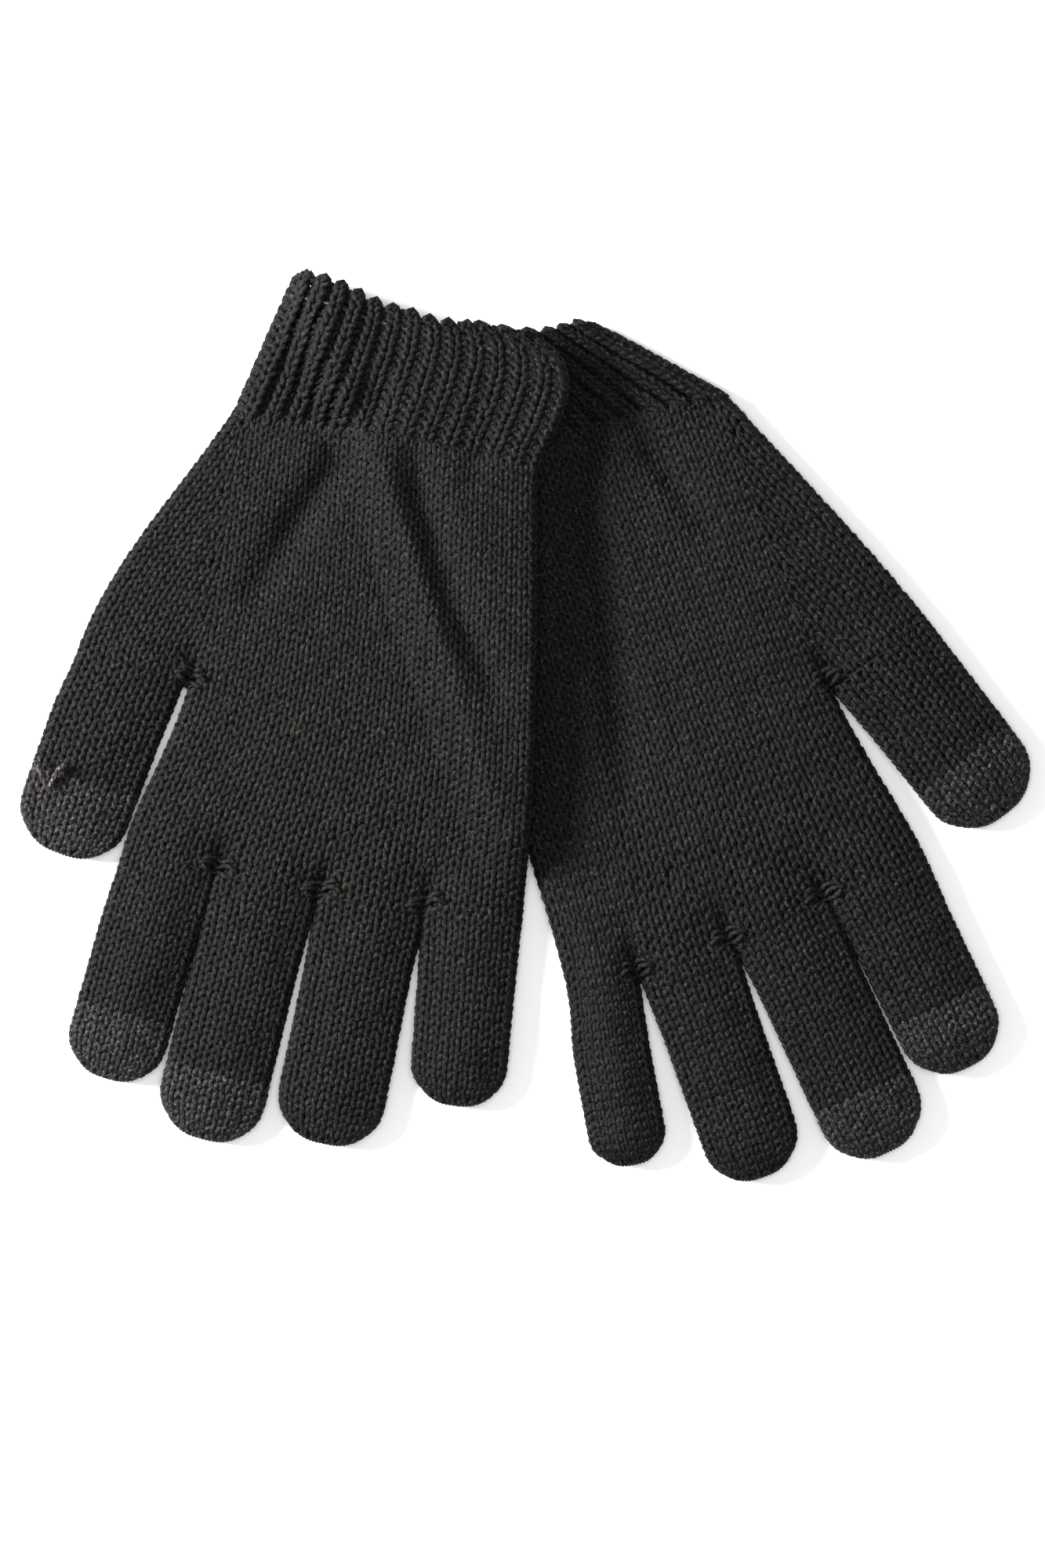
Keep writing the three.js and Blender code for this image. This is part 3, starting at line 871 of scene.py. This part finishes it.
def make_finger(finger):
    """A finger with its closed end. A touchscreen finger's end is a piece of its own in conductive yarn."""
    name = f"{finger.side}_{finger.name}_finger"
    ending = [closing_course(finger)]
    split = finger.courses
    if finger.tip_start is not None:
        split = round(finger.tip_start / finger.course)
        tip_name = f"{finger.side}_{finger.name}_knit_tip"
        tip = knit(tip_name, finger, split, finger.courses, CONDUCTIVE_YARN, extra=ending)
        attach(tip, finger.body)
        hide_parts(f"{finger.side}_{finger.name}_tip")
        ending = []
    piece = knit(f"{finger.side}_{finger.name}_knit", finger, 0, split, BLACK_YARN, extra=ending)
    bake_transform(piece)
    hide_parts(name)


def make_palm(side):
    lower, upper = LowerPalm(side), UpperPalm(side)
    halfway = LOWER_COURSES // 2
    bands = (
        (f"{side}_knit_lower_palm_1", lower, 0, halfway, f"{side}_lower_palm"),
        (f"{side}_knit_lower_palm_2", lower, halfway, LOWER_COURSES, f"{side}_lower_palm"),
        (f"{side}_knit_upper_palm", upper, LOWER_COURSES, upper.courses, f"{side}_upper_palm"),
    )
    for name, section, first, last, cad_node in bands:
        piece = knit(name, section, first, last, BLACK_YARN)
        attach(piece, section.body)
        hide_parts(cad_node)
    for finger in [lower.thumb, *upper.fingers]:
        make_finger(finger)
    return lower, upper


def cast_off_yarn(cuff):
    """The doubled yarn that closes the loops of the cuff's first course."""
    around = 2 * (RIB_WALES + FOLD_WALES)
    s = np.arange(around * 8) / 8
    r = CAST_OFF_PLACE + CAST_OFF_SWING * np.cos(4 * np.pi * s) + per_stitch(around, CAST_OFF_UNEVEN, s)
    side = np.tanh(RIB_SNAP * np.cos(np.pi * (s - 0.5)))
    normal = facing(cuff, s, r, RIB_WALES)
    height = cuff.rib_depth(s) * side + CAST_OFF_HEIGHT * np.sin(4 * np.pi * s)
    path = surface(cuff, s, r, RIB_WALES) + normal * column(height)
    return tube(path, normal, *CAST_OFF_RADII)


def make_cuff(side):
    cuff = Cuff(side)
    parts = (
        (f"{side}_knit_cuff_edge", 0, EDGE_COURSES, f"{side}_cuff_edge"),
        (f"{side}_knit_cuff", EDGE_COURSES, cuff.courses, f"{side}_cuff"),
    )
    for name, first, last, cad_node in parts:
        extra = [cast_off_yarn(cuff)] if first == 0 else []
        piece = knit(name, cuff, first, last, BLACK_YARN, ribbed=True, extra=extra)
        attach_cuff_piece(piece, side)
        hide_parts(cad_node)
    for number, r in ((1, EDGE_COURSES), (2, cuff.courses - ELASTIC_SETBACK)):
        around = 2 * (RIB_WALES + FOLD_WALES)
        q = np.arange(around * 2) / 2
        places = np.full_like(q, r)
        normal = facing(cuff, q, places, RIB_WALES)
        path = surface(cuff, q, places, RIB_WALES)
        yarn = tube(path, normal, ELASTIC_RADIUS, ELASTIC_RADIUS, sides=6)
        thread = make_piece(f"{side}_elastic_{number}", [yarn], ELASTIC_THREAD)
        attach_cuff_piece(thread, side)
        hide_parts(f"{side}_cuff_elastic_{number}")


def attach_cuff_piece(piece, side):
    """The right cuff lies under the left glove and stays with its palm. The left one's pieces are not
    attached to a body; their transforms are only baked.
    """
    if side == "right":
        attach(piece, "right_palm")
        return
    wrist = [np.array(point, float) for point in GLOVES["left"]["wrist"]]
    top = [np.array(point, float) for point in GLOVES["left"]["cuff_top"]]
    middle = mix(*wrist, 0.5)
    line = unit(wrist[1] - wrist[0])
    away = np.array([-line[1], line[0]])
    if away @ (mix(*top, 0.5) - middle) < 0:
        away = -away
    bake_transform(piece)


def smooth_path(points, steps):
    """A Catmull-Rom curve through points."""
    points = np.array(points, float)
    padded = np.vstack([2 * points[0] - points[1], points, 2 * points[-1] - points[-2]])
    t = np.arange(steps)[:, None] / steps
    spans = []
    for a, b, c, d in zip(padded[:-3], padded[1:-2], padded[2:-1], padded[3:]):
        spans.append(b + 0.5 * t * (c - a + t * (2 * a - 5 * b + 4 * c - d + t * (3 * (b - c) + d - a))))
    return np.vstack([*spans, points[-1:]])


def make_closing_stitches(side, lower, upper):
    """The yarn that closes the foot of each gap between two fingers."""
    gaps = len(FOUR_FINGERS) - 1
    pitch = FINGER_SHARE + GAP_SHARE
    places = [
        (upper, i * pitch + FINGER_SHARE + GAP_SHARE / 2, upper.courses, MAIN_WALES)
        for i in range(gaps)
    ]
    gusset = lower.gusset_wales(LOWER_COURSES)
    places.append((lower, gusset - GAP_SHARE / 2, LOWER_COURSES, MAIN_WALES + gusset))
    numbers = list(range(1, gaps + 1)) if side == "left" else list(range(gaps, 0, -1))
    for number, (section, q0, r0, wales) in zip([*numbers, gaps + 1], places):
        points = smooth_path(CLOSING_STITCH, 8)
        q, r = q0 + points[:, 0], r0 - STITCH_SETBACK + points[:, 1]
        normal = facing(section, q, r, wales)
        path = surface(section, q, r, wales) + normal * column(points[:, 2])
        name = f"{side}_closing_yarn_{number}"
        yarn = tube(path, normal, *STITCH_RADII, closed=False)
        piece = make_piece(name, [yarn], BLACK_YARN, end_caps(path, YARN_SIDES))
        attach(piece, section.body)
        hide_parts(f"{side}_closing_stitch_{number}")


def make_yarn_tail():
    """The loose end of conductive yarn on the left thumb: a small V of three plies that part at its ends."""
    low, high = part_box("left_thumb_yarn_tail")
    middle = [*((low + high) / 2 / MM)[:2], TAIL_HEIGHT]
    points = [(middle[0] + x, middle[1] + y - TAIL_SETBACK, middle[2] + z) for x, y, z in TAIL_BENDS]
    line = smooth_path(points, 8)
    share = np.linspace(-1, 1, len(line))
    plies = []
    for ply in range(PLIES):
        angle = 2 * np.pi * ply / PLIES + TAIL_TWIST * share
        spread = TAIL_SPREAD + TAIL_FRAY * share**6
        offset = column(spread) * np.column_stack([np.cos(angle), 0.4 * np.cos(angle + 1), np.sin(angle)])
        normal = np.tile([0.0, 0.0, 1.0], (len(line), 1))
        plies.append(tube(line + offset, normal, TAIL_RADIUS, TAIL_RADIUS, closed=False))
    tail = make_piece("left_thumb_yarn_end", plies, TAIL_YARN)
    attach(tail, "left_thumb")
    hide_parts("left_thumb_yarn_tail")


# ---------------------------------------------------------------- stage

def make_stage():
    bpy.ops.mesh.primitive_plane_add(size=4)
    floor = bpy.context.object
    floor.name = "floor"
    material, _, shader = new_material("floor")
    shader.inputs["Base Color"].default_value = (0.9, 0.9, 0.9, 1)
    shader.inputs["Roughness"].default_value = 0.9
    shader.inputs["Specular IOR Level"].default_value = 0.1
    floor.data.materials.append(material)


def make_light(name, place, size, power, target=(0, 0, 0)):
    light = bpy.data.lights.new(name, "AREA")
    light.shape = "DISK"
    light.size = size
    light.energy = power
    lamp = bpy.data.objects.new(name, light)
    lamp.location = place
    lamp.rotation_mode = "QUATERNION"
    lamp.rotation_quaternion = (Vector(target) - Vector(place)).to_track_quat("-Z", "Y")
    bpy.context.scene.collection.objects.link(lamp)


def make_camera():
    """Straight down, as the pair was photographed, with +Y up in the picture."""
    camera = bpy.data.cameras.new("camera")
    camera.sensor_width = SENSOR
    camera.lens = SENSOR * CAMERA_HEIGHT / FRAMED_WIDTH
    holder = bpy.data.objects.new("camera", camera)
    holder.location = (*CAMERA_PLACE, CAMERA_HEIGHT)
    bpy.context.scene.collection.objects.link(holder)
    bpy.context.scene.camera = holder


make_camera()
for glove_side in GLOVES:
    lower_palm, upper_palm = make_palm(glove_side)
    make_closing_stitches(glove_side, lower_palm, upper_palm)
    make_cuff(glove_side)
make_yarn_tail()
make_stage()
make_light("key", (-1.15, 0.3, 0.55), 0.5, 74)
make_light("overhead", (0.0, 0.0, 1.6), 1.0, 16)
world = bpy.data.worlds.new("studio")
world.use_nodes = True
world.node_tree.nodes["Background"].inputs["Color"].default_value = (1, 1, 1, 1)
world.node_tree.nodes["Background"].inputs["Strength"].default_value = WORLD_STRENGTH
bpy.context.scene.world = world
bpy.context.scene.view_settings.view_transform = "Standard"
